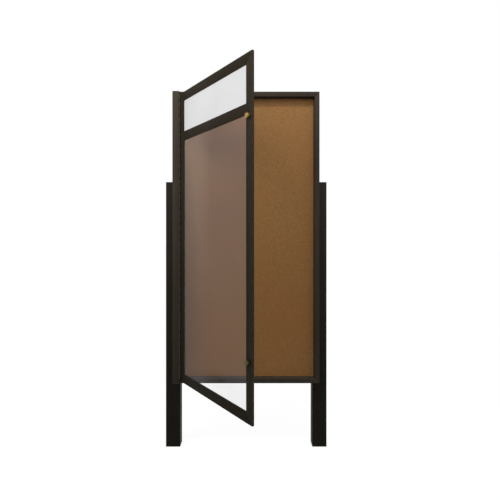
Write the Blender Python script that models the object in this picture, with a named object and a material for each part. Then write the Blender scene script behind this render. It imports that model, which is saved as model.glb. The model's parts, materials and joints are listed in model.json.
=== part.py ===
"""Enclosed notice board: a shallow cork-backed cabinet with a hinged, glazed door, on two square posts.

Metres, +Z up. The origin is on the ground, midway between the posts, and the cabinet faces -Y. The door is
hung at the left, stands open, and turns about the pin of a full-length hinge.
"""

import math

import bmesh
import bpy
from mathutils import Vector

# Clearances
FIT = 0.0003  # left between two faces that meet
RUNNING = 0.0004  # left beside a face that turns past another
THREAD_FIT = 0.0003  # radial, between a screw or barrel and its hole

# Posts
POST_SIDE = 0.0762
POST_WALL = 0.0032
POST_CORNER = 0.0042
POST_HEIGHT = 1.406
POST_CAP_PLATE = 0.003
POST_CAP_CHAMFER = 0.0012
POST_CAP_SPIGOT = 0.014
POST_CAP_WALL = 0.0025

# Cabinet
CABINET_WIDTH = 0.762
CABINET_HEIGHT = 1.514
CABINET_BOTTOM = 0.355
RAIL_FACE = 0.025
RAIL_WALL = 0.002
RECESS_DEPTH = 0.034
LIP_REACH = 0.002
REAR_LIP_REACH = 0.005
LIP_THICKNESS = 0.002
CORK_THICKNESS = 0.006
FIBREBOARD_THICKNESS = 0.009
BACK_SHEET_THICKNESS = 0.0015
BACK_MARGIN = 0.0043  # from the rear lip to the back of the rails
CABINET_KEY_LEG = 0.070
KEY_CHAMFER = 0.002

# Hinge jamb
JAMB_WIDTH = 0.0354
JAMB_WALL = 0.002
STOP_REACH = 0.0136
STOP_THICKNESS = 0.002
JAMB_PLUG_PLATE = 0.0015
JAMB_PLUG_SPIGOT = 0.010

# Door
DOOR_OPEN = 58.7  # degrees
DOOR_THICKNESS = 0.010
DOOR_REVEAL = 0.016  # how much of the cabinet's edge shows round the closed door
DOOR_FACE = 0.045
DOOR_WALL = 0.0018
FLANGE_WIDTH = 0.009
FLANGE_THICKNESS = 0.0022
HEADER_HEIGHT = 0.157
HEADER_THICKNESS = 0.003
PANE_THICKNESS = 0.003
PANE_EDGE_GAP = 0.0005
BEAD_INSET = 0.0006
BEAD_NOSE = 0.0016
BEAD_FOOT = 0.0032
DOOR_KEY_LEG = 0.060
SEAL_SPACE = 0.002  # between the closed door and the cabinet's face
SEAL_WIDTH = 0.0055
SEAL_INSET = 0.0018

# Hinge
KNUCKLE_RADIUS = 0.0032
KNUCKLE_BORE = 0.0016
PIN_RADIUS = 0.00125
KNUCKLE_LENGTH = 0.042
LEAF_THICKNESS = 0.0015
LEAF_WIDTH = 0.0084
LEAF_SPACE = 0.0006  # between the two leaves when the door is shut
HINGE_END_MARGIN = 0.004
KNUCKLE_SIDES = 12

# Locks
LOCK_INSET = 0.025  # from the door's free edge
UPPER_LOCK_DROP = 0.008  # below the cross rail
LOWER_LOCK_RISE = 0.247  # above the door's bottom
COLLAR_RADIUS = 0.011
COLLAR_LENGTH = 0.013
COLLAR_EDGE = 0.0012
BARREL_RADIUS = 0.008
BARREL_SPARE = 0.0009  # thread left showing past the nut
PLUG_RADIUS = 0.0055
PLUG_FACE_RADIUS = 0.0072
PLUG_FACE_THICKNESS = 0.002
KEYWAY_WIDTH = 0.0014
KEYWAY_HEIGHT = 0.0080
KEYWAY_DEPTH = 0.0070
LOCK_NUT_ACROSS = 0.019
LOCK_NUT_THICKNESS = 0.0035
SQUARE_SIDE = 0.0072  # the plug's square end, which carries the cam
CAM_REACH = 0.028
CAM_WIDTH = 0.013
CAM_THICKNESS = 0.0025
CAM_SLACK = 0.0005
CAM_SLOT_MARGIN = 0.002
CAM_SCREW_HEAD_RADIUS = 0.0048
CAM_SCREW_HEAD = 0.0022
CAM_SCREW_RADIUS = 0.0017
CAM_SCREW_LENGTH = 0.008
ROUND_SIDES = 24

# Post bolts
BOLT_RADIUS = 0.004
BOLT_HEAD_RADIUS = 0.0092
BOLT_HEAD_HEIGHT = 0.0045
BOLT_SPARE = 0.003
BOLT_NUT_ACROSS = 0.013
BOLT_NUT_THICKNESS = 0.0065
BOLT_END_MARGIN = 0.100  # from the post's top, and from the cabinet's bottom

# Sizes and places that follow
BOARDS_THICKNESS = CORK_THICKNESS + FIBREBOARD_THICKNESS + BACK_SHEET_THICKNESS + 4 * FIT
REAR_LIP = RECESS_DEPTH + LIP_THICKNESS + BOARDS_THICKNESS
CABINET_DEPTH = REAR_LIP + LIP_THICKNESS + BACK_MARGIN
CABINET_LEFT = -CABINET_WIDTH / 2
CABINET_RIGHT = CABINET_WIDTH / 2
CABINET_TOP = CABINET_BOTTOM + CABINET_HEIGHT
CABINET_BACK_Y = -POST_SIDE / 2 - FIT
FACE_Y = CABINET_BACK_Y - CABINET_DEPTH
PROUD = DOOR_THICKNESS + SEAL_SPACE
HINGE_SETBACK = KNUCKLE_RADIUS + FIT  # from the pin back to the door's front face
HINGE_X = CABINET_LEFT + JAMB_WIDTH + FIT + LEAF_THICKNESS + LEAF_SPACE / 2
HINGE_Y = FACE_Y - PROUD - HINGE_SETBACK
POST_X = CABINET_RIGHT - RAIL_FACE - REAR_LIP_REACH + POST_SIDE / 2
DOOR_HINGE_EDGE = LEAF_SPACE / 2 + LEAF_THICKNESS + FIT  # these six are from the hinge pin
DOOR_FREE_EDGE = CABINET_RIGHT - DOOR_REVEAL - HINGE_X
DOOR_FRONT = HINGE_SETBACK
DOOR_BACK = DOOR_FRONT + DOOR_THICKNESS
LOCK_X = DOOR_FREE_EDGE - LOCK_INSET
BARREL_END = DOOR_BACK + FIT + LOCK_NUT_THICKNESS + BARREL_SPARE
DOOR_BOTTOM = CABINET_BOTTOM + DOOR_REVEAL
DOOR_TOP = CABINET_TOP - DOOR_REVEAL
HEADER_BOTTOM = DOOR_TOP - DOOR_FACE - HEADER_HEIGHT
WINDOW_TOP = HEADER_BOTTOM - DOOR_FACE
LOCK_HEIGHTS = {"upper": WINDOW_TOP - UPPER_LOCK_DROP, "lower": DOOR_BOTTOM + LOWER_LOCK_RISE}
CABINET_OUTLINE = (CABINET_LEFT, CABINET_RIGHT, CABINET_BOTTOM, CABINET_TOP)
DOOR_OUTLINE = (DOOR_HINGE_EDGE, DOOR_FREE_EDGE, DOOR_BOTTOM, DOOR_TOP)
BOLT_HEIGHTS = {"lower": CABINET_BOTTOM + BOLT_END_MARGIN, "upper": POST_HEIGHT - BOLT_END_MARGIN}

X, Y, Z = Vector((1, 0, 0)), Vector((0, 1, 0)), Vector((0, 0, 1))

BRONZE = ((0.050, 0.040, 0.032), 0.45, 0.0)
POST_BRONZE = ((0.024, 0.020, 0.017), 0.5, 0.0)
HINGE_BRONZE = ((0.040, 0.033, 0.027), 0.45, 0.0)
MILL_ALUMINIUM = ((0.62, 0.62, 0.62), 0.35, 1.0)
STEEL = ((0.50, 0.50, 0.50), 0.3, 1.0)
BRASS = ((0.56, 0.42, 0.16), 0.3, 1.0)
CORK = ((0.25, 0.14, 0.055), 0.9, 0.0)
FIBREBOARD = ((0.22, 0.16, 0.10), 0.9, 0.0)
HEADER_WHITE = ((0.72, 0.72, 0.72), 0.4, 0.0)
CLEAR_ACRYLIC = ((0.80, 0.84, 0.86), 0.05, 0.0)
BLACK_RUBBER = ((0.020, 0.020, 0.020), 0.7, 0.0)
BLACK_NYLON = ((0.025, 0.025, 0.025), 0.5, 0.0)


def clear_scene():
    for obj in list(bpy.data.objects):
        bpy.data.objects.remove(obj)


def finish(obj, look):
    """Gives the piece its own material."""
    colour, roughness, metallic = look
    material = bpy.data.materials.new(obj.name)
    material.use_nodes = True
    shader = material.node_tree.nodes["Principled BSDF"]
    shader.inputs["Base Color"].default_value = (*colour, 1)
    shader.inputs["Roughness"].default_value = roughness
    shader.inputs["Metallic"].default_value = metallic
    obj.data.materials.append(material)


def place(name, bm, look=None, parent=None):
    """Makes the object. Without a look it is a helper, which stays out of the render."""
    bmesh.ops.remove_doubles(bm, verts=bm.verts, dist=1e-7)
    bmesh.ops.recalc_face_normals(bm, faces=bm.faces)
    mesh = bpy.data.meshes.new(name)
    bm.to_mesh(mesh)
    bm.free()
    obj = bpy.data.objects.new(name, mesh)
    bpy.context.scene.collection.objects.link(obj)
    obj.parent = parent
    if look:
        finish(obj, look)
    else:
        obj.hide_render = True
        obj.display_type = "WIRE"
    return obj


def smooth(obj):
    obj.data.shade_smooth()
    obj.data.set_sharp_from_angle(angle=math.radians(35))
    return obj


def pivot(name, location, turn=0.0, parent=None):
    empty = bpy.data.objects.new(name, None)
    bpy.context.scene.collection.objects.link(empty)
    empty.parent = parent
    empty.location = location
    empty.rotation_euler = (0, 0, turn)
    return empty


def boolean(obj, other, operation="DIFFERENCE"):
    modifier = obj.modifiers.new(f"{operation.lower()}_{other.name}", "BOOLEAN")
    modifier.operation = operation
    modifier.object = other


def circle(radius, sides, centre=(0, 0), start=0.0):
    step = 2 * math.pi / sides
    return [
        (centre[0] + radius * math.cos(start + i * step), centre[1] + radius * math.sin(start + i * step))
        for i in range(sides)
    ]


def rectangle(u0, v0, u1, v1):
    return [(u0, v0), (u1, v0), (u1, v1), (u0, v1)]


def rounded_square(side, radius, steps=4):
    """A square about the origin, each corner an arc."""
    middle = side / 2 - radius
    points = []
    for quarter in range(4):
        turn = quarter * math.pi / 2
        sign_u = 1 if quarter in (0, 3) else -1
        sign_v = 1 if quarter in (0, 1) else -1
        for i in range(steps + 1):
            angle = turn + i * math.pi / 2 / steps
            points.append(
                (sign_u * middle + radius * math.cos(angle), sign_v * middle + radius * math.sin(angle))
            )
    return points


def extruded(bm, section, holes, origin, along, u_axis, v_axis, length, mitre_start=0.0, mitre_end=0.0):
    """A section drawn in u and v and run along a line. A mitre of 1 cuts that end at 45 degrees across u."""
    ends = ([], [])
    for loop in [section, *holes]:
        near = []
        far = []
        for u, v in loop:
            offset = origin + u_axis * u + v_axis * v
            near.append(bm.verts.new(offset + along * (mitre_start * (u + FIT / math.sqrt(2)))))
            far.append(bm.verts.new(offset + along * (length - mitre_end * (u + FIT / math.sqrt(2)))))
        for i in range(len(loop)):
            j = (i + 1) % len(loop)
            bm.faces.new((near[i], near[j], far[j], far[i]))
        for end, ring in zip(ends, (near, far)):
            end.extend(bm.edges.get((ring[i], ring[(i + 1) % len(ring)])) for i in range(len(ring)))
    for end in ends:
        bmesh.ops.triangle_fill(bm, edges=end, use_beauty=True)


def prism(name, section, holes, origin, along, u_axis, v_axis, length, look=None, parent=None):
    bm = bmesh.new()
    extruded(bm, section, holes, Vector(origin), along, u_axis, v_axis, length)
    return place(name, bm, look, parent)


def frame_member(name, outline, side, section, holes, front, look, parent=None):
    """One mitred side of a frame in the XZ plane. The section's u runs inwards and v backwards."""
    x0, x1, z0, z1 = outline
    runs = {
        "bottom": ((x0, z0), X, Z, x1 - x0),
        "top": ((x0, z1), X, -Z, x1 - x0),
        "left": ((x0, z0), Z, X, z1 - z0),
        "right": ((x1, z0), Z, -X, z1 - z0),
    }
    (x, z), along, inward, length = runs[side]
    bm = bmesh.new()
    extruded(bm, section, holes, Vector((x, front, z)), along, inward, Y, length, 1.0, 1.0)
    return place(name, bm, look, parent)


def board(name, outline, front, thickness, look, parent=None):
    """A flat sheet that faces -Y."""
    x0, x1, z0, z1 = outline
    return prism(name, rectangle(x0, z0, x1, z1), [], (0, front, 0), Y, X, Z, thickness, look, parent)


def shrunk(outline, by):
    x0, x1, z0, z1 = outline
    return (x0 + by, x1 - by, z0 + by, z1 - by)


def lofted(name, loops, look, parent=None):
    """Joins loops of equal count, one after another, and closes the first and the last."""
    bm = bmesh.new()
    rings = [[bm.verts.new(point) for point in loop] for loop in loops]
    count = len(rings[0])
    for a, b in zip(rings, rings[1:]):
        for i in range(count):
            j = (i + 1) % count
            bm.faces.new((a[i], a[j], b[j], b[i]))
    bm.faces.new(rings[0])
    bm.faces.new(rings[-1])
    return place(name, bm, look, parent)


def turned(name, profile, origin, axis, look=None, parent=None, closed=False):
    """A profile of (radius, distance along the axis) turned about the axis. A closed one leaves a bore."""
    axis = Vector(axis)
    side = Z if abs(axis.z) < 0.9 else X
    bm = bmesh.new()
    points = [Vector(origin) + side * r + axis * h for r, h in profile]
    verts = [bm.verts.new(point) for point in points]
    edges = [bm.edges.new(pair) for pair in zip(verts, verts[1:])]
    if closed:
        edges.append(bm.edges.new((verts[-1], verts[0])))
    full = 2 * math.pi
    bmesh.ops.spin(
        bm, geom=verts + edges, cent=Vector(origin), axis=axis, angle=full, steps=ROUND_SIDES, use_merge=True
    )
    return smooth(place(name, bm, look, parent))


def key_section(u0, u1, leg):
    """An L with a chamfer on each leg's end, to start it into the rail."""
    c = KEY_CHAMFER
    return [
        (u0, u0), (leg - c, u0), (leg, u0 + c), (leg, u1 - c), (leg - c, u1), (u1, u1),
        (u1, leg - c), (u1 - c, leg), (u0 + c, leg), (u0, leg - c),
    ]


def corner_keys(prefix, outline, u0, u1, leg, front, thickness, parent=None):
    """A key in each corner of a frame, in the hollow of its rails."""
    x0, x1, z0, z1 = outline
    corners = {
        "top_left": (x0, z1, X, -Z),
        "top_right": (x1, z1, -X, -Z),
        "bottom_left": (x0, z0, X, Z),
        "bottom_right": (x1, z0, -X, Z),
    }
    for corner, (x, z, across, upright) in corners.items():
        name = f"{prefix}_corner_key_{corner}"
        section = key_section(u0, u1, leg)
        prism(name, section, [], (x, front, z), Y, across, upright, thickness, MILL_ALUMINIUM, parent)


def make_posts():
    tube_top = POST_HEIGHT - POST_CAP_PLATE - FIT
    inner_side = POST_SIDE - 2 * POST_WALL
    inner_corner = max(POST_CORNER - POST_WALL, 0.0004)
    for name, x in (("left", -POST_X), ("right", POST_X)):
        outer = rounded_square(POST_SIDE, POST_CORNER)
        inner = rounded_square(inner_side, inner_corner)
        post = prism(f"{name}_post", outer, [inner], (x, 0, 0), Z, X, Y, tube_top, POST_BRONZE)
        smooth(post)
        make_post_cap(f"{name}_post_cap", x, inner_side, inner_corner)
        side = math.copysign(1, x)
        for level, height in BOLT_HEIGHTS.items():
            make_post_bolt(f"{name}_{level}", post, side, height)


def make_post_cap(name, x, inner_side, inner_corner):
    bottom = POST_HEIGHT - POST_CAP_PLATE
    spigot = inner_side - 2 * FIT
    spigot_corner = max(inner_corner - FIT, 0.0002)
    hollow = spigot - 2 * POST_CAP_WALL
    chamfered = POST_SIDE - 2 * POST_CAP_CHAMFER
    levels = (
        (chamfered, POST_CORNER - POST_CAP_CHAMFER, POST_HEIGHT),
        (POST_SIDE, POST_CORNER, POST_HEIGHT - POST_CAP_CHAMFER),
        (POST_SIDE, POST_CORNER, bottom),
        (spigot, spigot_corner, bottom),
        (spigot, spigot_corner, bottom - POST_CAP_SPIGOT),
        (hollow, spigot_corner, bottom - POST_CAP_SPIGOT),
        (hollow, spigot_corner, bottom),
    )
    loops = [[(x + u, v, z) for u, v in rounded_square(side, corner)] for side, corner, z in levels]
    smooth(lofted(name, loops, BLACK_NYLON))


def make_post_bolt(label, post, side, height):
    """A dome-headed bolt from behind the post, through it and the rail's back, with its nut inside."""
    x = side * (CABINET_RIGHT - RAIL_FACE / 2)
    head = POST_SIDE / 2 + FIT
    nut_back = CABINET_BACK_Y - RAIL_WALL - FIT
    end = nut_back - BOLT_NUT_THICKNESS - BOLT_SPARE
    dome = [
        (BOLT_HEAD_RADIUS * math.cos(a), -BOLT_HEAD_HEIGHT * math.sin(a))
        for a in (math.radians(step * 22.5) for step in range(5))
    ]
    dome[-1] = (0.0, -BOLT_HEAD_HEIGHT)
    chamfer = BOLT_RADIUS * 0.2
    profile = [
        *reversed(dome), (BOLT_RADIUS, 0.0), (BOLT_RADIUS, head - end - chamfer),
        (BOLT_RADIUS - chamfer, head - end), (0.0, head - end),
    ]
    turned(f"post_bolt_{label}", profile, (x, head, height), -Y, STEEL)
    hexagon = circle(BOLT_NUT_ACROSS / 2 / math.cos(math.pi / 6), 6)
    thread = circle(BOLT_RADIUS + THREAD_FIT, ROUND_SIDES)
    nut = (x, nut_back, height)
    prism(f"post_nut_{label}", hexagon, [thread], nut, -Y, X, Z, BOLT_NUT_THICKNESS, STEEL)
    drill = circle(BOLT_RADIUS + THREAD_FIT, ROUND_SIDES)
    through = POST_SIDE + 2 * POST_WALL
    post_hole = prism(f"hole_post_{label}", drill, [], (x, -through / 2, height), Y, X, Z, through)
    boolean(post, post_hole)
    rail = bpy.data.objects["cabinet_left_rail" if side < 0 else "cabinet_right_rail"]
    start = CABINET_BACK_Y - 2 * RAIL_WALL
    rail_hole = prism(f"hole_rail_{label}", drill, [], (x, start, height), Y, X, Z, 3 * RAIL_WALL)
    boolean(rail, rail_hole)


def make_cabinet():
    face, wall, depth = RAIL_FACE, RAIL_WALL, CABINET_DEPTH
    reach, rear_reach = face + LIP_REACH, face + REAR_LIP_REACH
    lip_back = RECESS_DEPTH + LIP_THICKNESS
    section = [
        (0, 0), (face, 0), (face, RECESS_DEPTH), (reach, RECESS_DEPTH), (reach, lip_back), (face, lip_back),
        (face, REAR_LIP), (rear_reach, REAR_LIP), (rear_reach, REAR_LIP + LIP_THICKNESS),
        (face, REAR_LIP + LIP_THICKNESS), (face, depth), (0, depth),
    ]
    front_hollow = rectangle(wall, wall, face - wall, RECESS_DEPTH)
    rear_hollow = rectangle(wall, lip_back, face - wall, depth - wall)
    hollows = [front_hollow, rear_hollow]
    for side in ("top", "bottom", "left", "right"):
        frame_member(f"cabinet_{side}_rail", CABINET_OUTLINE, side, section, hollows, FACE_Y, BRONZE)
    key_front = FACE_Y + lip_back + FIT
    key_thickness = depth - wall - lip_back - 2 * FIT
    corner_keys(
        "cabinet", CABINET_OUTLINE, wall + FIT, face - wall - FIT, CABINET_KEY_LEG, key_front, key_thickness
    )
    inside = shrunk(CABINET_OUTLINE, face + FIT)
    cork_front = FACE_Y + lip_back + FIT
    fibreboard_front = cork_front + CORK_THICKNESS + FIT
    sheet_front = fibreboard_front + FIBREBOARD_THICKNESS + FIT
    board("cork_sheet", inside, cork_front, CORK_THICKNESS, CORK)
    board("fibreboard", inside, fibreboard_front, FIBREBOARD_THICKNESS, FIBREBOARD)
    board("back_sheet", inside, sheet_front, BACK_SHEET_THICKNESS, MILL_ALUMINIUM)


def make_jamb():
    """The strip that carries the hinge, with a leg that the closed door's seal meets."""
    back = PROUD - FIT
    inner = RAIL_FACE + FIT
    stop = JAMB_WIDTH + STOP_REACH
    section = [
        (0, 0), (JAMB_WIDTH, 0), (JAMB_WIDTH, PROUD), (stop, PROUD), (stop, PROUD + STOP_THICKNESS),
        (inner, PROUD + STOP_THICKNESS), (inner, back), (0, back),
    ]
    wall = JAMB_WALL
    hollow = rectangle(wall, wall, JAMB_WIDTH - wall, back - wall)
    end = JAMB_PLUG_PLATE + FIT
    base = (CABINET_LEFT, FACE_Y - PROUD, CABINET_BOTTOM + end)
    jamb = prism("hinge_jamb", section, [hollow], base, Z, X, Y, CABINET_HEIGHT - 2 * end, BRONZE)
    cope = rectangle(inner - wall, back, stop + wall, PROUD + STOP_THICKNESS + wall)
    cope_height = RAIL_FACE + FIT + wall
    for name, z in (("bottom", CABINET_BOTTOM - wall), ("top", CABINET_TOP - RAIL_FACE - FIT)):
        corner = (CABINET_LEFT, FACE_Y - PROUD, z)
        boolean(jamb, prism(f"jamb_cope_{name}", cope, [], corner, Z, X, Y, cope_height))
    for name, z, inwards in (("bottom", CABINET_BOTTOM, 1), ("top", CABINET_TOP, -1)):
        plate = rectangle(0, 0, JAMB_WIDTH, back)
        fit = wall + FIT
        spigot = rectangle(fit, fit, JAMB_WIDTH - fit, back - fit)
        plate_inner = z + inwards * JAMB_PLUG_PLATE
        spigot_end = z + inwards * JAMB_PLUG_SPIGOT
        levels = ((plate, z), (plate, plate_inner), (spigot, plate_inner), (spigot, spigot_end))
        loops = [[(CABINET_LEFT + u, FACE_Y - PROUD + v, level) for u, v in loop] for loop, level in levels]
        lofted(f"jamb_plug_{name}", loops, BLACK_NYLON)


def knuckle_section(sign):
    """The rolled edge of a leaf: a ring about the pin that runs off into the flat of the leaf."""
    near = LEAF_SPACE / 2
    far = near + LEAF_THICKNESS
    neck = KNUCKLE_RADIUS + RUNNING + LEAF_THICKNESS
    first = math.acos(far / KNUCKLE_RADIUS)
    last = math.acos(near / KNUCKLE_RADIUS) - 2 * math.pi
    steps = KNUCKLE_SIDES
    arc = []
    for i in range(steps + 1):
        angle = first + (last - first) * i / steps
        arc.append((sign * KNUCKLE_RADIUS * math.cos(angle), KNUCKLE_RADIUS * math.sin(angle)))
    return [(sign * far, neck), *arc, (sign * near, neck)]


def make_leaf(name, sign, turn, count, pitch, bottom, parent, offset):
    """A comb: the flat leaf, and every second knuckle of the hinge."""
    near = LEAF_SPACE / 2
    flat_front = KNUCKLE_RADIUS + RUNNING
    flat = rectangle(sign * near, flat_front, sign * (near + LEAF_THICKNESS), HINGE_SETBACK + LEAF_WIDTH)
    leaf = prism(name, flat, [], (*offset, bottom), Z, X, Y, count * pitch, HINGE_BRONZE, parent)
    bm = bmesh.new()
    bore = circle(KNUCKLE_BORE, KNUCKLE_SIDES)
    for index in range(turn, count, 2):
        low = bottom + index * pitch + (RUNNING / 2 if index else 0)
        high = bottom + (index + 1) * pitch - (RUNNING / 2 if index < count - 1 else 0)
        extruded(bm, knuckle_section(sign), [bore], Vector((*offset, low)), Z, X, Y, high - low)
    knuckles = place(f"knuckles_{name}", bm, None, parent)
    boolean(leaf, knuckles, "UNION")
    smooth(leaf)


def make_hinge(door):
    bottom = DOOR_BOTTOM + HINGE_END_MARGIN
    length = DOOR_TOP - DOOR_BOTTOM - 2 * HINGE_END_MARGIN
    count = 2 * round(length / KNUCKLE_LENGTH / 2) + 1
    pitch = length / count
    make_leaf("hinge_jamb_leaf", -1, 0, count, pitch, bottom, None, (HINGE_X, HINGE_Y))
    make_leaf("hinge_door_leaf", 1, 1, count, pitch, bottom, door, (0, 0))
    pin = circle(PIN_RADIUS, KNUCKLE_SIDES)
    smooth(prism("hinge_pin", pin, [], (HINGE_X, HINGE_Y, bottom), Z, X, Y, length, STEEL))


def make_door_frame(door):
    face, box, wall, thick = DOOR_FACE, DOOR_FACE - FLANGE_WIDTH, DOOR_WALL, DOOR_THICKNESS
    section = [(0, 0), (face, 0), (face, FLANGE_THICKNESS), (box, FLANGE_THICKNESS), (box, thick), (0, thick)]
    hollow = rectangle(wall, wall, box - wall, thick - wall)
    names = {"top": "top_rail", "bottom": "bottom_rail", "left": "hinge_stile", "right": "lock_stile"}
    for side, name in names.items():
        name = f"door_{name}"
        frame_member(name, DOOR_OUTLINE, side, section, [hollow], DOOR_FRONT, BRONZE, door)
    corner_keys(
        "door", DOOR_OUTLINE, wall + FIT, box - wall - FIT, DOOR_KEY_LEG,
        DOOR_FRONT + wall + FIT, thick - 2 * wall - 2 * FIT, door,
    )
    make_cross_rail(door)


def make_cross_rail(door):
    """The rail between header and window. Its ends are coped, to pass behind the flanges of the stiles."""
    face, flange, wall, thick = DOOR_FACE, FLANGE_WIDTH, DOOR_WALL, DOOR_THICKNESS
    box = face - flange
    section = [
        (0, 0), (face, 0), (face, FLANGE_THICKNESS), (box, FLANGE_THICKNESS), (box, thick), (flange, thick),
        (flange, FLANGE_THICKNESS), (0, FLANGE_THICKNESS),
    ]
    hollow = rectangle(flange + wall, wall, box - wall, thick - wall)
    left = DOOR_HINGE_EDGE + box + FIT
    right = DOOR_FREE_EDGE - box - FIT
    base = (left, DOOR_FRONT, HEADER_BOTTOM - face)
    rail = prism("door_cross_rail", section, [hollow], base, X, Z, Y, right - left, BRONZE, door)
    over = FLANGE_THICKNESS
    for side, start in (("hinge", left - over), ("lock", right - flange)):
        cope = rectangle(-over, -over, face + over, FLANGE_THICKNESS + FIT)
        corner = (start, DOOR_FRONT, HEADER_BOTTOM - face)
        boolean(rail, prism(f"cope_{side}", cope, [], corner, X, Z, Y, flange + over, None, door))


def make_glazing(label, panel_name, opening, thickness, look, door):
    """A panel behind the flanges, and the four beads that hold it there."""
    rebate = shrunk(opening, -FLANGE_WIDTH)
    panel_front = DOOR_FRONT + FLANGE_THICKNESS + FIT
    board(panel_name, shrunk(rebate, PANE_EDGE_GAP), panel_front, thickness, look, door)
    bead_front = panel_front + thickness + FIT
    width = FLANGE_WIDTH - FIT - BEAD_INSET
    height = DOOR_BACK - FIT - bead_front
    section = [(0, 0), (width, 0), (width, BEAD_NOSE), (BEAD_FOOT, height), (0, height)]
    for side in ("top", "bottom", "left", "right"):
        frame_member(f"{label}_bead_{side}", shrunk(rebate, FIT), side, section, [], bead_front, BRONZE, door)


def make_seal(door):
    outer = shrunk(DOOR_OUTLINE, SEAL_INSET)
    inner = shrunk(outer, SEAL_WIDTH)
    corners = [rectangle(o[0], o[2], o[1], o[3]) for o in (outer, inner)]
    front = DOOR_BACK + FIT
    thickness = SEAL_SPACE - 2 * FIT
    prism("door_seal", corners[0], [corners[1]], (0, front, 0), Y, X, Z, thickness, BLACK_RUBBER, door)


def make_lock(level, height, door):
    """A cam lock through the lock stile, and the slot for its cam in the cabinet's side."""
    front = DOOR_FRONT - FIT
    collar_front = front - COLLAR_LENGTH
    bore = PLUG_RADIUS + THREAD_FIT
    seat = PLUG_FACE_RADIUS + THREAD_FIT
    seat_depth = PLUG_FACE_THICKNESS + FIT
    length = BARREL_END - collar_front
    barrel = [
        (seat, 0), (COLLAR_RADIUS - COLLAR_EDGE, 0), (COLLAR_RADIUS, COLLAR_EDGE),
        (COLLAR_RADIUS, COLLAR_LENGTH), (BARREL_RADIUS, COLLAR_LENGTH), (BARREL_RADIUS, length),
        (bore, length), (bore, seat_depth), (seat, seat_depth),
    ]
    turned(f"{level}_lock_barrel", barrel, (LOCK_X, collar_front, height), Y, BRASS, door, closed=True)
    hole = circle(BARREL_RADIUS + THREAD_FIT, ROUND_SIDES)
    start = (LOCK_X, DOOR_FRONT - DOOR_WALL, height)
    drill = prism(f"hole_stile_{level}", hole, [], start, Y, X, Z, DOOR_THICKNESS + 2 * DOOR_WALL, None, door)
    boolean(bpy.data.objects["door_lock_stile"], drill)
    hexagon = circle(LOCK_NUT_ACROSS / 2 / math.cos(math.pi / 6), 6, start=math.pi / 2)
    nut = (LOCK_X, DOOR_BACK + FIT, height)
    prism(f"{level}_lock_nut", hexagon, [hole], nut, Y, X, Z, LOCK_NUT_THICKNESS, STEEL, door)

    axis = pivot(f"{level}_lock_axis", (LOCK_X, 0, height), parent=door)
    make_plug(level, collar_front, axis)
    cam_front = BARREL_END + FIT
    make_cam(level, cam_front, axis)
    screw_seat = cam_front + CAM_THICKNESS + FIT
    screw = [
        (0, -CAM_SCREW_LENGTH), (CAM_SCREW_RADIUS, -CAM_SCREW_LENGTH), (CAM_SCREW_RADIUS, 0),
        (CAM_SCREW_HEAD_RADIUS, 0), (CAM_SCREW_HEAD_RADIUS, CAM_SCREW_HEAD * 0.6),
        (CAM_SCREW_HEAD_RADIUS * 0.8, CAM_SCREW_HEAD), (0, CAM_SCREW_HEAD),
    ]
    turned(f"{level}_cam_screw", screw, (0, screw_seat, 0), Y, STEEL, axis)
    cut_cam_slot(level, cam_front, height)


def make_plug(level, collar_front, axis):
    """The part that the key turns: a face, a cylinder and a square end with a tapped hole."""
    face_front = collar_front + FIT
    face_back = face_front + PLUG_FACE_THICKNESS
    cylinder = [
        (0, 0), (PLUG_FACE_RADIUS, 0), (PLUG_FACE_RADIUS, face_back - face_front),
        (PLUG_RADIUS, face_back - face_front), (PLUG_RADIUS, BARREL_END - face_front),
        (0, BARREL_END - face_front),
    ]
    plug = turned(f"{level}_lock_plug", cylinder, (0, face_front, 0), Y, BRASS, axis)
    half = SQUARE_SIDE / 2
    square = rectangle(-half, -half, half, half)
    square_start = BARREL_END - PLUG_RADIUS
    square_end = BARREL_END + CAM_THICKNESS
    tail = prism(
        f"plug_tail_{level}", square, [], (0, square_start, 0), Y, X, Z, square_end - square_start, None, axis
    )
    boolean(plug, tail, "UNION")
    tapped = circle(CAM_SCREW_RADIUS + THREAD_FIT, ROUND_SIDES // 2)
    depth = CAM_SCREW_LENGTH + CAM_THICKNESS
    hole_start = square_end - depth
    drilled = depth + CAM_THICKNESS
    hole = prism(f"hole_plug_{level}", tapped, [], (0, hole_start, 0), Y, X, Z, drilled, None, axis)
    boolean(plug, hole)
    slot = rectangle(-KEYWAY_WIDTH / 2, -KEYWAY_HEIGHT / 2, KEYWAY_WIDTH / 2, KEYWAY_HEIGHT / 2)
    start = (0, face_front - PLUG_FACE_THICKNESS, 0)
    cut = KEYWAY_DEPTH + PLUG_FACE_THICKNESS
    keyway = prism(f"keyway_{level}", slot, [], start, Y, X, Z, cut, None, axis)
    boolean(plug, keyway)


def make_cam(level, front, axis):
    """A flat arm that hangs down when unlocked, round at the plug and at the tip."""
    half = CAM_WIDTH / 2
    tip = CAM_REACH - half
    steps = 6
    boss = [math.pi * i / steps for i in range(steps + 1)]
    end = [math.pi + math.pi * i / steps for i in range(steps + 1)]
    outline = [(half * math.cos(a), half * math.sin(a)) for a in boss]
    outline += [(half * math.cos(a), -tip + half * math.sin(a)) for a in end]
    square = SQUARE_SIDE / 2 + FIT
    hole = rectangle(-square, -square, square, square)
    prism(f"{level}_lock_cam", outline, [hole], (0, front, 0), Y, X, Z, CAM_THICKNESS, STEEL, axis)


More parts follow.
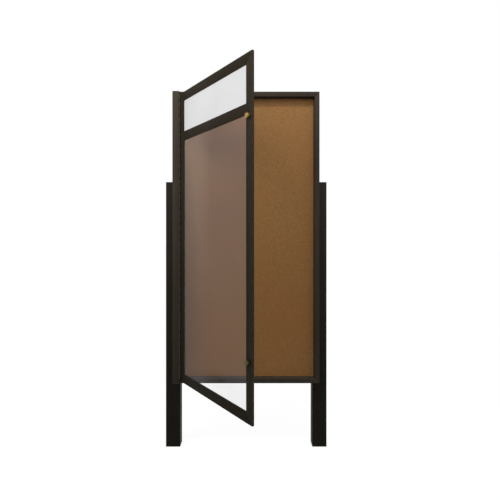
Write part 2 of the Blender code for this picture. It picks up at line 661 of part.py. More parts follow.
def cut_cam_slot(level, cam_front, height):
    """The cam turns into this slot in the right rail's inner wall, and holds behind its edge."""
    front = HINGE_Y + cam_front - CAM_SLACK
    low = height - CAM_REACH - CAM_SLOT_MARGIN
    high = height + CAM_WIDTH / 2 + CAM_SLOT_MARGIN
    inner = CABINET_RIGHT - RAIL_FACE
    slot = rectangle(inner - RAIL_WALL, low, inner + 2 * RAIL_WALL, high)
    depth = CAM_THICKNESS + 2 * CAM_SLACK
    cutter = prism(f"cam_slot_{level}", slot, [], (0, front, 0), Y, X, Z, depth)
    boolean(bpy.data.objects["cabinet_right_rail"], cutter)


def main():
    clear_scene()
    make_cabinet()
    make_posts()
    make_jamb()
    door = pivot("door_axis", (HINGE_X, HINGE_Y, 0), -math.radians(DOOR_OPEN))
    make_door_frame(door)
    left = DOOR_HINGE_EDGE + DOOR_FACE
    right = DOOR_FREE_EDGE - DOOR_FACE
    header = (left, right, HEADER_BOTTOM, DOOR_TOP - DOOR_FACE)
    window = (left, right, DOOR_BOTTOM + DOOR_FACE, WINDOW_TOP)
    make_glazing("header", "header_panel", header, HEADER_THICKNESS, HEADER_WHITE, door)
    make_glazing("window", "window_pane", window, PANE_THICKNESS, CLEAR_ACRYLIC, door)
    make_seal(door)
    make_hinge(door)
    for level, height in LOCK_HEIGHTS.items():
        make_lock(level, height, door)


main()
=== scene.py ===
"""The enclosed notice board: its camera and studio, finishes, rounded edges, locks, screws and gaskets."""

import json
import math

import bmesh
import bpy
from mathutils import Matrix, Vector


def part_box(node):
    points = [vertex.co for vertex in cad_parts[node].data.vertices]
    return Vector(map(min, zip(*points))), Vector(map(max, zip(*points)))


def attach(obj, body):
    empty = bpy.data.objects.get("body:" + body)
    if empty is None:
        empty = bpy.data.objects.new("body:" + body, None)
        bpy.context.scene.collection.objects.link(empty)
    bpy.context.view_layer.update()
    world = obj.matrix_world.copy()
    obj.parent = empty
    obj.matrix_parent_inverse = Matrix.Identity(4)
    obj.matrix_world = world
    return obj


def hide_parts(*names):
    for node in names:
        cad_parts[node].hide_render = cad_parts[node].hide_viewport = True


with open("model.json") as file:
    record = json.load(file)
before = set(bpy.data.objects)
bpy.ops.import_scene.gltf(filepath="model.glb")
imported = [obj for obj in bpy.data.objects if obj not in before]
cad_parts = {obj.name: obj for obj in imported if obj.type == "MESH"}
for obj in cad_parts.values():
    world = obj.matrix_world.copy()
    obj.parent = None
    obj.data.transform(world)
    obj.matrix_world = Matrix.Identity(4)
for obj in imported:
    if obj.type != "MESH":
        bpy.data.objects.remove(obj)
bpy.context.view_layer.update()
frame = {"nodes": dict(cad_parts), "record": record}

NODES = frame["nodes"]
SLOT_OF = {part["node"]: part["material_slot"] for part in frame["record"]["subparts"]}
BODY_OF = {node: body for body, nodes in frame["record"]["behaviour"]["bodies"].items() for node in nodes}

SIDES = ("top", "bottom", "left", "right")
LEVELS = ("upper", "lower")

# The door stands open about its hinge pin. DOOR turns its own directions into the part's: X runs along the
# door from the pin, Y goes in from its front, and Z is up.
HINGE = (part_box("hinge_pin")[0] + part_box("hinge_pin")[1]) / 2
OPEN = math.radians(-58.7)
DOOR = Matrix.Translation((HINGE.x, HINGE.y, 0)) @ Matrix.Rotation(OPEN, 4, "Z")
INTO_DOOR = DOOR.inverted()
DOOR_WIDTH = max((INTO_DOOR @ v.co).x for v in NODES["door_lock_stile"].data.vertices)


# Camera, light and ground


AMBIENT = 0.82      # the light from all round, against the background's white of 1


def make_camera():
    """The photograph's view: level, with the horizon at its own row of the picture."""
    focal_px, horizon_px, frame_px = 490.25, 235.43, 500
    data = bpy.data.cameras.new("camera")
    data.sensor_width = 36
    data.lens = focal_px / frame_px * data.sensor_width
    data.shift_y = (horizon_px - frame_px / 2) / frame_px
    camera = bpy.data.objects.new("camera", data)
    bpy.context.scene.collection.objects.link(camera)
    camera.location = (0.0200, -2.6430, 1.1224)
    camera.rotation_euler = (math.pi / 2, 0, 0)
    bpy.context.scene.camera = camera


def make_lamp(name, aim, towards, distance, size, power):
    """A square soft box that looks at a point from a direction."""
    data = bpy.data.lights.new(name, "AREA")
    data.size = size
    data.energy = power
    lamp = bpy.data.objects.new(name, data)
    bpy.context.scene.collection.objects.link(lamp)
    towards = Vector(towards).normalized()
    lamp.location = Vector(aim) + towards * distance
    lamp.rotation_euler = towards.to_track_quat("Z", "Y").to_euler()


def make_studio():
    """Even light from all round, and a white background to look at."""
    scene = bpy.context.scene
    scene.view_settings.view_transform = "Standard"
    world = bpy.data.worlds.new("studio")
    scene.world = world
    world.use_nodes = True
    world.node_tree.nodes.clear()
    sky = Finish(world.node_tree)
    ambient = sky.node("ShaderNodeBackground", values={"Color": (1, 1, 1, 1), "Strength": AMBIENT})
    white = sky.node("ShaderNodeBackground", values={"Color": (1, 1, 1, 1), "Strength": 1.0})
    values = {0: sky.seen(), 1: ambient.outputs[0], 2: white.outputs[0]}
    mixed = sky.node("ShaderNodeMixShader", values=values)
    sky.node("ShaderNodeOutputWorld", values={"Surface": mixed.outputs[0]})


def make_floor():
    """A pale ground that shows as white, but for the shade under the object."""
    reach, tone, glow = 40, (0.18, 0.18, 0.18, 1), 0.86
    bm = bmesh.new()
    bmesh.ops.create_grid(bm, x_segments=1, y_segments=1, size=reach)
    floor = piece("floor", bm)
    material, paint = new_finish("floor")
    matt = paint.node("ShaderNodeBsdfDiffuse", values={"Color": tone})
    white = paint.node("ShaderNodeEmission", values={"Color": (1, 1, 1, 1), "Strength": glow})
    lit = paint.node("ShaderNodeAddShader", values={0: matt.outputs[0], 1: white.outputs[0]})
    values = {0: paint.seen(), 1: matt.outputs[0], 2: lit.outputs[0]}
    mixed = paint.node("ShaderNodeMixShader", values=values)
    paint.node("ShaderNodeOutputMaterial", values={"Surface": mixed.outputs[0]})
    floor.data.materials.append(material)


# Shader expressions


class Number:
    """A shader socket that Python sums can be written on. Each sum adds its Math node."""

    def __init__(self, finish, socket):
        self.finish = finish
        self.socket = socket

    def math(self, operation, *others):
        values = dict(enumerate((self, *others)))
        return self.finish.number(self.finish.node("ShaderNodeMath", {"operation": operation}, values))

    def __add__(self, other):
        return self.math("ADD", other)

    def __mul__(self, other):
        return self.math("MULTIPLY", other)

    __radd__ = __add__
    __rmul__ = __mul__

    def __sub__(self, other):
        return self.math("SUBTRACT", other)

    def __rsub__(self, other):
        return self * -1 + other

    def __pow__(self, other):
        return self.math("POWER", other)

    def max(self, other):
        return self.math("MAXIMUM", other)

    def between(self, low, high):
        """0 at low and below, 1 at high and above."""
        values = {"Value": self, "From Min": low, "From Max": high}
        return self.finish.number(self.finish.node("ShaderNodeMapRange", {"clamp": True}, values))


class Finish:
    """The nodes of one material or world."""

    def __init__(self, tree):
        self.tree = tree

    def node(self, kind, settings=None, values=None):
        """A node of a kind, with its settings, and a value or a link for each socket that is named."""
        made = self.tree.nodes.new(kind)
        for name, value in (settings or {}).items():
            setattr(made, name, value)
        for name, value in (values or {}).items():
            if isinstance(value, Number):
                value = value.socket
            if isinstance(value, bpy.types.NodeSocket):
                self.tree.links.new(value, made.inputs[name])
            else:
                made.inputs[name].default_value = value
        return made

    def number(self, node, output=0):
        return Number(self, node.outputs[output])

    def place(self):
        """Object coordinates."""
        return self.node("ShaderNodeTexCoord").outputs["Object"]

    def facing(self):
        """The way that the surface looks."""
        return self.node("ShaderNodeNewGeometry").outputs["Normal"]

    def along(self, axis, vector=None):
        """How far a point lies along an axis, or how much a direction has of it."""
        split = self.node("ShaderNodeSeparateXYZ", values={"Vector": vector or self.place()})
        return self.number(split, axis)

    def height(self):
        """How far up the piece a point is, in metres from the ground."""
        return self.along("Z")

    def seen(self):
        """1 where the camera looks, straight or by gloss or glass, and 0 where light goes to the object."""
        path = self.node("ShaderNodeLightPath")
        seen = self.number(path, "Is Camera Ray").max(self.number(path, "Is Glossy Ray"))
        return seen.max(self.number(path, "Is Transmission Ray"))

    def stretched(self, scale, turn=(0, 0, 0)):
        """Object coordinates with a scale of their own along each axis."""
        values = {"Vector": self.place(), "Scale": scale, "Rotation": turn}
        return self.node("ShaderNodeMapping", values=values).outputs[0]

    def noise(self, scale, detail=2.0, place=None, roughness=0.5):
        """Clouds of 0 to 1, at a scale of so many to the metre."""
        values = {"Vector": place or self.place(), "Scale": scale, "Detail": detail, "Roughness": roughness}
        return self.number(self.node("ShaderNodeTexNoise", values=values), "Fac")

    # A Mix node's sockets go by number: its factor is 0, its vectors are 4 and 5, and its colours 6 and 7.

    def blend(self, factor, first, second, kind="MIX"):
        """A colour between two colours."""
        first, second = ((*colour, 1) if isinstance(colour, tuple) else colour for colour in (first, second))
        settings = {"data_type": "RGBA", "blend_type": kind}
        return self.node("ShaderNodeMix", settings, {0: factor, 6: first, 7: second}).outputs[2]

    def moved(self, place, pattern, share):
        """A place moved by a small share of a pattern."""
        values = {0: share, 4: place, 5: pattern}
        return self.node("ShaderNodeMix", {"data_type": "VECTOR"}, values).outputs[1]

    def bump(self, height, strength, distance):
        values = {"Height": height, "Strength": strength, "Distance": distance}
        return self.node("ShaderNodeBump", values=values).outputs[0]


def new_finish(name):
    material = bpy.data.materials.new(name)
    material.use_nodes = True
    material.node_tree.nodes.clear()
    return material, Finish(material.node_tree)


def principled(finish, values):
    shader = finish.node("ShaderNodeBsdfPrincipled", values=values)
    finish.node("ShaderNodeOutputMaterial", values={"Surface": shader.outputs[0]})


# Finishes


def times(colour, factor):
    return tuple(c * factor for c in colour)


def along_door(paint):
    """How far a point is from the hinge pin, along the door."""
    along = paint.along("X") * math.cos(OPEN) + paint.along("Y") * math.sin(OPEN)
    return along - (HINGE.x * math.cos(OPEN) + HINGE.y * math.sin(OPEN))


def free_edge(paint):
    """1 along the door's free edge, and 0 from 3 mm in."""
    return along_door(paint).between(DOOR_WIDTH - 0.0030, DOOR_WIDTH - 0.0004)


def powder_coat(name, colour, roughness, gloss, low=(0.3, 1.0), high=(1.6, 1.0), worn_and_lit_edge=None):
    """Baked powder: a fine pebble with paler specks, and a faint unevenness over a length.

    Painted light: the coat is darker low down and paler high up, for the light from above; low and high are a
    height and the coat's strength of colour there. Rain leaves faint upright streaks, dust lies on the faces
    that look up, and an edge that is given is painted paler, for hands' wear and as a painted highlight.
    """
    speck_tone, worn_and_highlight_tone, dust_tone = times(colour, 2.4), times(colour, 3.0), (0.115, 0.105, 0.090)
    material, paint = new_finish(name)
    pebble = paint.noise(900, 3)
    drift = paint.noise(5, 4, roughness=0.6)
    speck = paint.noise(2600, 1)
    streak = paint.noise(1, 4, paint.stretched((75, 75, 2.2)), 0.6)
    upwards = paint.along("Z", paint.facing())
    dust = upwards.between(0.35, 0.95) * paint.noise(38, 5, roughness=0.7).between(0.30, 0.62)
    # Painted light: the coat is darker low down and paler high up.
    painted_light_by_height = paint.height().between(low[0], high[0])
    tone = paint.blend(painted_light_by_height, times(colour, low[1]), times(colour, high[1]))
    for pattern, spread in ((drift, 0.18), (streak, 0.13)):
        shade = paint.blend(pattern.between(0.3, 0.7), (1 - spread,) * 3, (1 + spread,) * 3)
        tone = paint.blend(1.0, tone, shade, "MULTIPLY")
    tone = paint.blend(speck.between(0.55, 0.75) * 0.50, tone, speck_tone)
    tone = paint.blend(dust * 0.30, tone, dust_tone)
    # Painted highlight and wear: a paler band along the given edge, for the light it catches and for hands'
    # wear.
    if worn_and_lit_edge:
        worn_and_highlight = worn_and_lit_edge(paint) * paint.noise(60, 4, roughness=0.65).between(0.25, 0.60)
        tone = paint.blend(worn_and_highlight * 0.75, tone, worn_and_highlight_tone)
    rough = roughness + (drift - 0.5) * 0.16 + (pebble - 0.5) * 0.12 + dust * 0.2
    principled(paint, {
        "Base Color": tone, "Roughness": rough, "Specular IOR Level": gloss,
        "Normal": paint.bump(pebble, 0.60, 0.0011),
    })
    return material


def mill_aluminium(name):
    """Bare rolled sheet: a fine grain along its length, and the bloom of handling."""
    material, metal = new_finish(name)
    grain = metal.noise(1, 4, metal.stretched((2400, 2400, 14)))
    bloom = metal.noise(9, 5, roughness=0.65)
    wear = (bloom * 0.5 + grain * 0.5).between(0.30, 0.70)
    principled(metal, {
        "Base Color": metal.blend(wear, (0.44, 0.44, 0.43), (0.57, 0.57, 0.56)), "Metallic": 1.0,
        "Roughness": 0.34 + grain * 0.20 + (bloom - 0.5) * 0.08,
        "Normal": metal.bump(grain, 0.12, 0.0002),
    })
    return material


def zinc_steel(name):
    """Bright zinc plate, a little cloudy."""
    material, metal = new_finish(name)
    cloud = metal.noise(120, 5, roughness=0.7)
    pits = metal.noise(1900, 2)
    tone = metal.blend(cloud.between(0.3, 0.7), (0.40, 0.41, 0.42), (0.62, 0.63, 0.64))
    principled(metal, {
        "Base Color": tone, "Metallic": 1.0, "Roughness": 0.26 + cloud * 0.22,
        "Normal": metal.bump(pits, 0.10, 0.0001),
    })
    return material


def brass(name):
    """Turned and lacquered brass, tarnished in clouds. The lower lock is painted darker, as painted shade."""
    material, metal = new_finish(name)
    tarnish = metal.noise(210, 5, roughness=0.7)
    lathe = metal.noise(1, 2, metal.stretched((5200, 5200, 5200)))
    clouds = tarnish.between(0.35, 0.75)
    upper_tone = metal.blend(clouds, (0.46, 0.31, 0.095), (0.24, 0.155, 0.055))
    # Painted shade: the lower lock's much darker brass.
    lower_painted_shade_tone = metal.blend(clouds, (0.10, 0.082, 0.030), (0.045, 0.034, 0.014))
    principled(metal, {
        "Base Color": metal.blend(metal.height().between(0.75, 0.90), lower_painted_shade_tone, upper_tone),
        "Metallic": 1.0, "Roughness": 0.24 + tarnish * 0.25,
        "Normal": metal.bump(lathe, 0.08, 0.0001),
    })
    return material


def cork(name):
    """Pressed granules, each its own brown, with dark bark specks. Painted light: the sheet is paler towards
    its top.
    """
    dark, pale, warm = (0.205, 0.105, 0.036), (0.385, 0.210, 0.078), (0.330, 0.150, 0.050)
    bark_tone, seam_tone = (0.070, 0.030, 0.012), (0.11, 0.050, 0.018)
    granules, wobbles = 430, 300.0      # to the metre
    material, bark = new_finish(name)
    place = bark.place()
    wobble = bark.node("ShaderNodeTexNoise", values={"Vector": place, "Scale": wobbles}).outputs["Color"]
    values = {"Vector": bark.moved(place, wobble, 0.0012), "Scale": granules}
    granule = bark.node("ShaderNodeTexVoronoi", {"feature": "F1"}, values).outputs["Color"]
    one = bark.number(bark.node("ShaderNodeSeparateColor", values={0: granule}))
    edge = bark.number(bark.node("ShaderNodeTexVoronoi", {"feature": "DISTANCE_TO_EDGE"}, values), "Distance")
    inside = edge.between(0.0, 0.10)
    patch = bark.noise(3.5, 3)
    tone = bark.blend(one, dark, pale)
    tone = bark.blend(patch.between(0.35, 0.65) * 0.45, tone, warm)
    # Painted light: the sheet is darker low down and paler high up.
    painted_light_by_height = bark.blend(bark.height().between(0.6, 1.5) ** 1.7, (0.84, 0.78, 0.70), (1.11, 1.09, 1.08))
    tone = bark.blend(1.0, tone, painted_light_by_height, "MULTIPLY")
    specks = bark.noise(620, 2).between(0.65, 0.73)
    tone = bark.blend(specks * 0.75, tone, bark_tone)
    tone = bark.blend((1 - inside) * 0.40, tone, seam_tone)
    principled(bark, {
        "Base Color": tone, "Roughness": 0.86 + (one - 0.5) * 0.12, "Specular IOR Level": 0.15,
        "Normal": bark.bump(inside * 0.7 + one * 0.5, 0.45, 0.0006),
    })
    return material


def fibreboard(name):
    """Pressed wood fibre, matted across the board."""
    material, board = new_finish(name)
    fibre = board.noise(1, 5, board.stretched((500, 900, 500)), 0.7)
    tone = board.blend(fibre.between(0.3, 0.7), (0.15, 0.105, 0.062), (0.29, 0.215, 0.14))
    principled(board, {"Base Color": tone, "Roughness": 0.85, "Normal": board.bump(fibre, 0.3, 0.0004)})
    return material


def header_white(name):
    """A pale opaque sheet with a satin face, faintly uneven."""
    material, sheet = new_finish(name)
    drift = sheet.noise(3, 3)
    fine = sheet.noise(750, 2)
    principled(sheet, {
        "Base Color": sheet.blend(drift.between(0.3, 0.7), (0.74, 0.74, 0.745), (0.79, 0.79, 0.79)),
        "Roughness": 0.36 + (fine - 0.5) * 0.08 + (drift - 0.5) * 0.06, "Specular IOR Level": 0.35,
        "Normal": sheet.bump(fine, 0.05, 0.0002),
    })
    return material


def clear_acrylic(name):
    """A clear pane with a thin haze of dust and fine wiping marks. Its lit colour is partly a painted sheen.

    The haze is painted paler high up, as a painted sheen, and paler by the hinge, as painted light. High up
    towards the free edge it is darker, cooler and thicker, as painted shade on what shows through. In the
    lower corner under the lock it is near black.
    """
    # Painted sheen: the pane's lit colour low down and high up.
    low_haze_and_sheen, high_haze_and_sheen = (0.29, 0.29, 0.33), (0.60, 0.56, 0.58)
    # Painted light by the hinge, and painted shade high up towards the free edge.
    painted_light_by_hinge, low_outer, painted_shade_high_outer = (1.80, 1.66, 1.46), (0.95, 0.95, 0.95), (0.30, 0.38, 0.48)
    # Near black, for the lower corner towards the free edge.
    lower_corner_tone = (0.03, 0.03, 0.03)
    material, pane = new_finish(name)
    dust = pane.noise(7, 5, roughness=0.62)
    marks = pane.noise(1, 3, pane.stretched((60, 60, 4), turn=(0.2, 0.1, 0)))
    outer = along_door(pane).between(0.05, 0.34)
    upper = pane.height().between(0.75, 1.20)
    # Painted shade: the pane is less clear high up towards the free edge, which darkens what shows through.
    veil = 0.082 + outer * upper * 0.075 + (dust - 0.5) * 0.03 + (marks - 0.5) * 0.02
    # Painted sheen: paler high up.
    haze_and_sheen = pane.blend(pane.height().between(0.5, 1.6) ** 2, low_haze_and_sheen, high_haze_and_sheen)
    # Painted light by the hinge, painted shade high up towards the free edge.
    shade = pane.blend(outer, painted_light_by_hinge, pane.blend(upper, low_outer, painted_shade_high_outer))
    haze_and_sheen = pane.blend(1.0, haze_and_sheen, shade, "MULTIPLY")
    # 1 where the pane's lit colour shows, 0 in the lower corner towards the free edge.
    haze_shows = pane.height().between(0.47, 0.53).max(1 - along_door(pane).between(0.30, 0.44))
    principled(pane, {
        "Base Color": pane.blend(haze_shows, lower_corner_tone, haze_and_sheen), "Roughness": 0.06 + dust * 0.05, "Alpha": veil,
        "Specular IOR Level": 0.2,
    })
    return material


def black_plastic(name, tone, roughness):
    """Moulded rubber or nylon: matt, with a fine grain."""
    material, plastic = new_finish(name)
    grain = plastic.noise(1500, 2)
    drift = plastic.noise(24, 3)
    principled(plastic, {
        "Base Color": plastic.blend(drift.between(0.3, 0.7), times(tone, 0.75), times(tone, 1.35)),
        "Roughness": roughness + (drift - 0.5) * 0.15, "Specular IOR Level": 0.3,
        "Normal": plastic.bump(grain, 0.15, 0.0002),
    })
    return material


def make_finishes():
    # Each coat's low and high give its painted light by height: darker low down, paler high up.
    return {
        "frame_bronze": powder_coat(
            "frame_bronze", (0.036, 0.0280, 0.0195), roughness=0.50, gloss=0.08,
            low=(0.40, 0.72), high=(1.85, 1.22),
        ),
        # Painted shade: the door's copy of the cabinet's bronze coat is darker.
        "door_bronze_painted_shade": powder_coat(
            "door_bronze_painted_shade", (0.0194, 0.0152, 0.0096), roughness=0.52, gloss=0.02,
            low=(0.40, 0.68), high=(1.85, 1.50), worn_and_lit_edge=free_edge,
        ),
        "post_bronze": powder_coat(
            "post_bronze", (0.0195, 0.0160, 0.0120), roughness=0.54, gloss=0.05,
            low=(0.15, 0.42), high=(1.40, 1.62),
        ),
        "hinge_bronze": powder_coat("hinge_bronze", (0.034, 0.028, 0.021), roughness=0.42, gloss=0.2),
        "corner_key": mill_aluminium("corner_key"),
        "mill_aluminium": mill_aluminium("mill_aluminium"),
        "zinc_steel": zinc_steel("zinc_steel"),
        "brass": brass("brass"),
        "cork": cork("cork"),
        "fibreboard": fibreboard("fibreboard"),
        "header_white": header_white("header_white"),
        "clear_acrylic": clear_acrylic("clear_acrylic"),
        "black_rubber": black_plastic("black_rubber", (0.014, 0.014, 0.014), roughness=0.62),
        "black_nylon": black_plastic("black_nylon", (0.018, 0.017, 0.016), roughness=0.5),
    }


def finish_for(slot, body):
    """The door's coat is the cabinet's bronze painted darker, as painted shade on the open door."""
    return FINISHES["door_bronze_painted_shade" if (slot, body) == ("frame_bronze", "door") else slot]


def finish_nodes():
    for name, node in NODES.items():
        for slot in node.material_slots:
            slot.material = finish_for(SLOT_OF[name], BODY_OF[name])


# Pieces


def piece(name, bm):
    mesh = bpy.data.meshes.new(name)
    bm.to_mesh(mesh)
    bm.free()
    made = bpy.data.objects.new(name, mesh)
    bpy.context.scene.collection.objects.link(made)
    return made


def dressed(name, bm, body, slot, replaced=(), round_below=30):
    """A finished piece, smooth but for its real edges, on its body and in its slot."""
    made = piece(name, bm)
    made.data.materials.append(finish_for(slot, body))
    made.data.shade_smooth()
    made.data.set_sharp_from_angle(angle=math.radians(round_below))
    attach(made, body)
    if replaced:
        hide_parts(*replaced)
    return made


# Rounded edges


def softened(node, width, segments=2, from_angle=30):
    """Stands for a CAD piece with the small round that a real extrusion or pressing has along its edges."""
    touching, flat = 1e-6, math.radians(1)
    bm = bmesh.new()
    bm.from_mesh(NODES[node].data)
    bmesh.ops.remove_doubles(bm, verts=bm.verts, dist=touching)
    bmesh.ops.dissolve_limit(bm, angle_limit=flat, verts=bm.verts, edges=bm.edges)
    edges = [e for e in bm.edges if e.is_manifold and e.calc_face_angle() > math.radians(from_angle)]
    bmesh.ops.bevel(
        bm, geom=edges, offset=width, offset_type="OFFSET", segments=segments, profile=0.5, affect="EDGES",
        clamp_overlap=True, material=-1,
    )
    bmesh.ops.triangulate(bm, faces=[f for f in bm.faces if len(f.verts) > 4])
    return dressed(f"{node}_edged", bm, BODY_OF[node], SLOT_OF[node], (node,), from_angle + 5)


def make_edged_pieces():
    for side in SIDES:
        softened(f"cabinet_{side}_rail", 0.0005)
    for name in ("top_rail", "bottom_rail", "hinge_stile", "lock_stile", "cross_rail"):
        softened(f"door_{name}", 0.0004)
    softened("hinge_jamb", 0.0005)
    for name in ("jamb_plug_top", "jamb_plug_bottom", "left_post_cap", "right_post_cap"):
        softened(name, 0.0003)
    for panel in ("header", "window"):
        for side in SIDES:
            softened(f"{panel}_bead_{side}", 0.0003)
    for level in LEVELS:
        softened(f"{level}_lock_plug", 0.00022)
        softened(f"{level}_lock_cam", 0.0004)
    softened("door_seal", 0.0005, segments=3)
    for leaf in ("hinge_jamb_leaf", "hinge_door_leaf"):
        softened(leaf, 0.0002, segments=1, from_angle=45)


# Turned and pressed parts, each made about the Y axis with its face towards -Y


TURNED_ROUND = Matrix.Rotation(math.pi, 4, "Z")


def turned(profile, steps):
    """Spins points of radius and depth about the Y axis. A profile that starts off it is a closed ring."""
    bm = bmesh.new()
    verts = [bm.verts.new((radius, depth, 0)) for radius, depth in profile]
    edges = [bm.edges.new(pair) for pair in zip(verts, verts[1:])]
    if profile[0][0] > 0:
        edges.append(bm.edges.new((verts[-1], verts[0])))
    bmesh.ops.spin(
        bm, geom=verts + edges, cent=(0, 0, 0), axis=(0, 1, 0), angle=2 * math.pi, steps=steps,
        use_merge=True,
    )
    bmesh.ops.remove_doubles(bm, verts=bm.verts, dist=1e-7)
    bmesh.ops.recalc_face_normals(bm, faces=bm.faces)
    return bm


def ringed(levels, sides=48, closed=False):
    """A skin over outlines about the Y axis.

    A level is its depth, and its radius at an angle. A closed skin is a ring, whose last outline joins its
    first.
    """
    bm = bmesh.new()
    loops = []
    for depth, radius in levels:
        row = []
        for step in range(sides):
            angle = 2 * math.pi * step / sides
            reach = radius(angle)
            row.append(bm.verts.new((reach * math.cos(angle), depth, reach * math.sin(angle))))
        loops.append([bm.edges.new(pair) for pair in zip(row, row[1:] + row[:1])])
    for one, other in zip(loops, loops[1:]):
        bmesh.ops.bridge_loops(bm, edges=one + other)
    if closed:
        bmesh.ops.bridge_loops(bm, edges=loops[-1] + loops[0])
    else:
        for end in (loops[0], loops[-1]):
            bmesh.ops.edgeloop_fill(bm, edges=end)
    bmesh.ops.triangulate(bm, faces=[f for f in bm.faces if len(f.verts) > 4])
    bmesh.ops.recalc_face_normals(bm, faces=bm.faces)
    return bm


def circle(radius):
    return lambda angle: radius


def hexagon(across, within):
    """The outline of a nut, with its corners taken off at a circle."""
    def radius(angle):
        turn = (angle + math.pi / 6) % (math.pi / 3) - math.pi / 6
        return min(across / 2 / math.cos(turn), within)
    return radius


def cross(reach, waist):
    """The outline of a cross recess."""
    def radius(angle):
        return waist + (reach - waist) * abs(math.cos(2 * angle)) ** 6
    return radius


def screw_head(radius, height, recess, neck, sunk):
    """A low domed head with a cross recess. Its neck starts sunk in what it holds."""
    edge = height * 0.45
    return [
        (sunk, circle(neck)), (0, circle(radius)), (-edge, circle(radius)),
        (-height * 0.82, circle(radius * 0.86)), (-height, circle(radius * 0.66)),
        (-height, cross(recess, recess * 0.42)), (-height * 0.35, cross(recess * 0.7, recess * 0.25)),
    ]


def joined(parts):
    """Several shapes in one mesh, each moved to its place."""
    whole = bmesh.new()
    for bm, place in parts:
        bmesh.ops.transform(bm, matrix=place, verts=bm.verts)
        mesh = bpy.data.meshes.new("part")
        bm.to_mesh(mesh)
        bm.free()
        whole.from_mesh(mesh)
        bpy.data.meshes.remove(mesh)
    return whole


def in_door(node):
    """A node's lowest and highest corners in the door's own directions."""
    places = [INTO_DOOR @ v.co for v in NODES[node].data.vertices]
    low = Vector(min(p[i] for p in places) for i in range(3))
    high = Vector(max(p[i] for p in places) for i in range(3))
    return low, high


def centred(low, high, depth):
    """Takes a turned part to the middle of its node's box, with its own origin at a depth."""
    return Matrix.Translation(((low.x + high.x) / 2, depth, (low.z + high.z) / 2))


def make_lock_barrel(level):
    """A turned collar with a rolled rim, a dish round the plug, and the threaded shank behind the stile."""
    node = f"{level}_lock_barrel"
    low, high = in_door(node)
    rim, length = (high.x - low.x) / 2, high.y - low.y
    collar, shank, bore, seat, seat_depth = 0.013, 0.008, 0.0058, 0.0075, 0.0023
    roll, bevel = 0.0018, 0.0004
    groove_start, groove_end, groove_side = collar - 0.0022, collar - 0.0012, 0.0002
    pitch, thread = 0.0010, 0.0005
    profile = [(seat, bevel * 1.5), (seat + bevel, 0.0), (seat + bevel + 0.0005, 0.0)]
    for degrees in range(90, -1, -15):
        angle = math.radians(degrees)
        profile.append((rim - roll + roll * math.cos(angle), roll - roll * math.sin(angle)))
    profile += [
        (rim, groove_start), (rim - bevel, groove_start + groove_side),
        (rim - bevel, groove_end - groove_side), (rim, groove_end),
        (rim, collar - bevel), (rim - bevel, collar), (shank, collar),
    ]
    for turn in range(int((length - collar) / pitch)):
        start = collar + turn * pitch
        profile += [
            (shank, start + 0.15 * pitch),
            (shank - thread, start + 0.50 * pitch),
            (shank, start + 0.85 * pitch),
        ]
    profile += [(shank - bevel, length), (bore, length), (bore, seat_depth), (seat, seat_depth)]
    bm = joined([(turned(profile, 64), DOOR @ centred(low, high, low.y))])
    dressed(f"{node}_turned", bm, "door", "brass", (node,))


def make_lock_nut(level):
    """A hexagon nut with its corners taken off on both faces."""
    node = f"{level}_lock_nut"
    low, high = in_door(node)
    across, thickness, hole = high.x - low.x, high.y - low.y, 0.0083
    corner = across / 2 / math.cos(math.pi / 6)
    whole, cut = hexagon(across, corner), hexagon(across, corner * 0.93)
    levels = [
        (0, circle(hole)), (0, cut), (thickness * 0.2, whole),
        (thickness * 0.8, whole), (thickness, cut), (thickness, circle(hole)),
    ]
    bm = joined([(ringed(levels, closed=True), DOOR @ centred(low, high, low.y))])
    dressed(f"{node}_chamfered", bm, "door", "zinc_steel", (node,), round_below=20)


def make_cam_screw(level):
    """The screw that holds the cam, seen from behind the door."""
    node = f"{level}_cam_screw"
    low, high = in_door(node)
    radius, height, recess, neck, sunk = (high.x - low.x) / 2, 0.0022, 0.0026, 0.0017, 0.0002
    head = ringed(screw_head(radius, height, recess, neck, sunk))
    bm = joined([(head, DOOR @ centred(low, high, high.y - height) @ TURNED_ROUND)])
    dressed(f"{node}_head", bm, f"{level}_lock", "zinc_steel", (node,))


def make_hinge_screws():
    """Low cross-recessed screws down the middle of each leaf, set so that the two rows miss each other."""
    count, twist = 10, math.radians(37)
    radius, height, recess, neck, sunk = 0.0026, 0.00045, 0.0016, 0.00182, 0.0008
    leaf_middle, leaf_face = 0.00775, 0.0003
    bottom, top = (corner.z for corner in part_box("hinge_pin"))
    pitch = (top - bottom) / count
    on_door = Matrix.Translation((leaf_face, leaf_middle, 0)) @ Matrix.Rotation(-math.pi / 2, 4, "Z")
    on_jamb = Matrix.Translation((HINGE.x - leaf_face, HINGE.y + leaf_middle, 0))
    on_jamb = on_jamb @ Matrix.Rotation(math.pi / 2, 4, "Z")
    levels = screw_head(radius, height, recess, neck, sunk)
    rows = (("door", "door", DOOR @ on_door, 0.30), ("jamb", "cabinet", on_jamb, 0.70))
    for name, body, base, start in rows:
        parts = []
        for index in range(count):
            place = Matrix.Translation((0, 0, bottom + (index + start) * pitch)) @ base
            parts.append((ringed(levels, sides=32), place @ Matrix.Rotation(twist * index, 4, "Y")))
        dressed(f"hinge_screws_{name}", joined(parts), body, "zinc_steel")


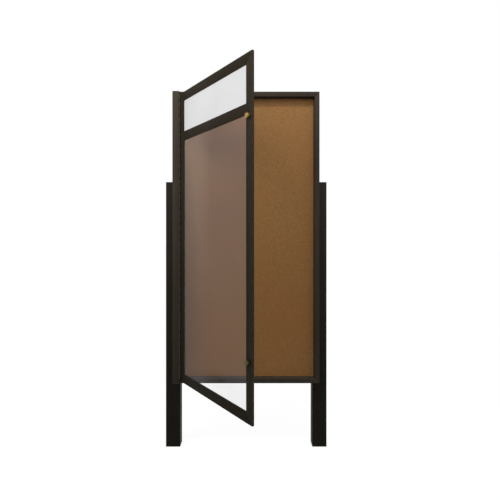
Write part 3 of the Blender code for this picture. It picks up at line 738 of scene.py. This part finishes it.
def make_post_bolts():
    """Round dome heads with a rolled edge, and the chamfered end of each shank."""
    dome, rolled, shank, chamfer = 0.0045, 0.0008, 0.004, 0.0008
    for side in ("left", "right"):
        for level in ("lower", "upper"):
            node = f"post_bolt_{side}_{level}"
            low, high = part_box(node)
            radius, length = (high.x - low.x) / 2, high.y - low.y - dome
            profile = [(0.0, -dome)]
            for degrees in range(81, 0, -9):
                angle = math.radians(degrees)
                profile.append((radius * math.cos(angle), -rolled - (dome - rolled) * math.sin(angle)))
            profile += [
                (radius, -0.0006), (radius - 0.0002, -0.0001), (radius - 0.0006, 0), (shank, 0),
                (shank, length - chamfer), (shank - chamfer, length), (0.0, length),
            ]
            bm = joined([(turned(profile, 40), centred(low, high, high.y - dome) @ TURNED_ROUND)])
            dressed(f"{node}_turned", bm, "cabinet", "zinc_steel", (node,))


# The door's trim


def make_gaskets():
    """A thin black lip between the door's flanges and each panel, all round."""
    width, proud, inset, sunk = 0.0009, 0.0010, 0.0006, 0.0001
    section = [(0, 0.0), (0, -proud), (width * 0.5, -proud), (width, -proud * 0.4), (width, 0.0)]
    for panel, sheet in (("header", "header_panel"), ("window", "window_pane")):
        bead = {side: in_door(f"{panel}_bead_{side}") for side in SIDES}
        left, right = bead["left"][1].x + inset, bead["right"][0].x - inset
        bottom, top = bead["bottom"][1].z + inset, bead["top"][0].z - inset
        front = in_door(sheet)[0].y - sunk
        corners = [(left, bottom, 1, 1), (right, bottom, -1, 1), (right, top, -1, -1), (left, top, 1, -1)]
        bm = bmesh.new()
        loops = []
        for x, z, across, up in corners:
            row = [bm.verts.new((x + across * w, front + d, z + up * w)) for w, d in section]
            loops.append([bm.edges.new(pair) for pair in zip(row, row[1:] + row[:1])])
        for one, other in zip(loops, loops[1:] + loops[:1]):
            bmesh.ops.bridge_loops(bm, edges=one + other)
        bmesh.ops.recalc_face_normals(bm, faces=bm.faces)
        dressed(f"{panel}_gasket", joined([(bm, DOOR)]), "door", "black_rubber")


# The whole scene


def make_small_parts():
    for level in LEVELS:
        make_lock_barrel(level)
        make_lock_nut(level)
        make_cam_screw(level)
    make_hinge_screws()
    make_post_bolts()
    make_gaskets()


FINISHES = make_finishes()
finish_nodes()
make_edged_pieces()
make_small_parts()
make_camera()
make_studio()
make_lamp("key", aim=(0.0, -0.1, 1.5), towards=(0.190, -0.580, 0.840), distance=2.6, size=0.35, power=28.2)
make_lamp("fill", aim=(-0.2, -0.3, 1.6), towards=(-0.62, -0.62, 0.48), distance=2.0, size=1.3, power=20.5)
make_floor()
